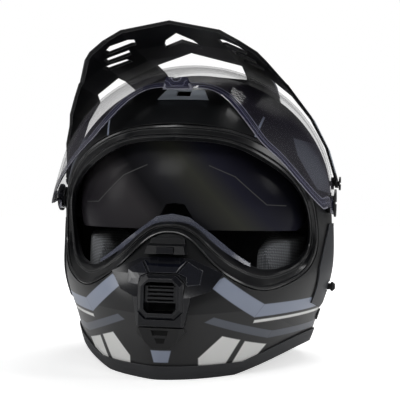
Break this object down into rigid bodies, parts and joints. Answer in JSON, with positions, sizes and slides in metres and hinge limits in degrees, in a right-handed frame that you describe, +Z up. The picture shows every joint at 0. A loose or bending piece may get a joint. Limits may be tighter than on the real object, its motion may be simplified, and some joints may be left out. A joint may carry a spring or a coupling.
{
  "type": "dual sport helmet",
  "caption": "Full face dual sport helmet with a swing-up clear shield, retracting tinted sun visor, louvred peak on side arms, chin vent, foam liner, pads and buckled chin strap.",
  "frame": {"origin": "on the floor under the middle of the overall width and length, at the bottom of the edge trim", "axes": "+X towards the wearer's left, -Y towards the front (face side), +Z up; standing on its edge trim as on a table"},
  "size_m": [0.2736, 0.3294, 0.2967],
  "materials": {
    "shell_black": "moulded ABS shell, satin black, painted with broad grey stripes",
    "trim_grey": "soft edge trim",
    "seal_black": "ribbed black seal",
    "smoked_clear": "smoked clear film",
    "liner_foam": "expanded foam",
    "lining_cloth": "brushed cloth over soft foam",
    "pad_cloth": "grey mesh cloth over foam",
    "roll_cloth": "smooth cloth over foam",
    "clear_shield": "hard coated clear polycarbonate",
    "pivot_black": "moulded pivot cap",
    "tinted_visor": "dark tinted polycarbonate",
    "slider_grey": "ribbed slider",
    "cover_grey": "satin dark grey",
    "peak_black": "satin black with grey bands",
    "screw_black": "slotted plastic screw",
    "vent_black": "gloss blue black",
    "latch_grey": "semi gloss dark grey",
    "brow_grey": "satin blue grey",
    "strap_web": "woven webbing",
    "buckle_black": "moulded buckle",
    "buckle_red": "red release lever",
    "rivet_black": "black rivet head"
  },
  "bodies": {
    "shell": {"outer_shell": "shell_black", "base_trim": "trim_grey", "eyeport_seal": "seal_black", "breath_deflector": "smoked_clear", "foam_liner": "liner_foam", "comfort_lining": "lining_cloth", "chin_foam": "liner_foam", "cheek_pad_left": "pad_cloth", "cheek_pad_right": "pad_cloth", "neck_roll": "roll_cloth", "shield_pivot_left": "pivot_black", "shield_pivot_right": "pivot_black", "visor_pivot_left": "pivot_black", "visor_pivot_right": "pivot_black", "side_cover_left": "cover_grey", "side_cover_right": "cover_grey", "peak_standoff_left": "pivot_black", "peak_standoff_right": "pivot_black", "peak_side_screw_left": "screw_black", "peak_side_screw_right": "screw_black", "peak_seat": "vent_black", "chin_vent_housing": "vent_black", "chin_vent_ring": "vent_black", "chin_lower_vent": "vent_black", "latch_receiver": "latch_grey", "brow_vent": "brow_grey", "rear_exhaust_left": "vent_black", "rear_exhaust_right": "vent_black", "chin_strap_left": "strap_web", "chin_strap_right": "strap_web", "buckle_body": "buckle_black", "buckle_tongue": "buckle_black", "strap_rivet_left": "rivet_black", "strap_rivet_right": "rivet_black"},
    "shield": {"face_shield": "clear_shield"},
    "visor": {"sun_visor": "tinted_visor"},
    "visor_lever": {"visor_slider": "slider_grey"},
    "peak": {"peak": "peak_black"},
    "shutter": {"chin_vent_shutter": "vent_black"},
    "latch": {"latch_button": "vent_black"},
    "buckle_release": {"buckle_lever": "buckle_red"}
  },
  "joints": [
    {"name": "shield_hinge", "type": "hinge", "parent": "shell", "child": "shield", "pos_m": [0, -0.0003, 0.149], "axis": [1, 0, 0], "range_deg": [0, 55]},
    {"name": "visor_hinge", "type": "hinge", "parent": "shell", "child": "visor", "pos_m": [0, -0.0003, 0.149], "axis": [-1, 0, 0], "range_deg": [0, 44]},
    {"name": "slider_slide", "type": "slide", "parent": "shell", "child": "visor_lever", "axis": [0, 1, 0], "range_m": [0, 0.018]},
    {"name": "peak_tilt", "type": "hinge", "parent": "shell", "child": "peak", "pos_m": [0, 0.0292, 0.168], "axis": [1, 0, 0], "range_deg": [0, 3]},
    {"name": "shutter_slide", "type": "slide", "parent": "shell", "child": "shutter", "axis": [0, 0, -1], "range_m": [0, 0.005]},
    {"name": "latch_press", "type": "slide", "parent": "shell", "child": "latch", "axis": [0, 1, 0], "range_m": [0, 0.002], "stiffness_N_per_m": 300},
    {"name": "buckle_hinge", "type": "hinge", "parent": "shell", "child": "buckle_release", "pos_m": [0.046, 0.0217, 0.013], "axis": [0, -1, 0], "range_deg": [0, 25], "stiffness_Nm_per_rad": 0.02}
  ],
  "couplings": [
    {"joint": "slider_slide", "follows": "visor_hinge", "m_per_rad": 0.02343}
  ]
}
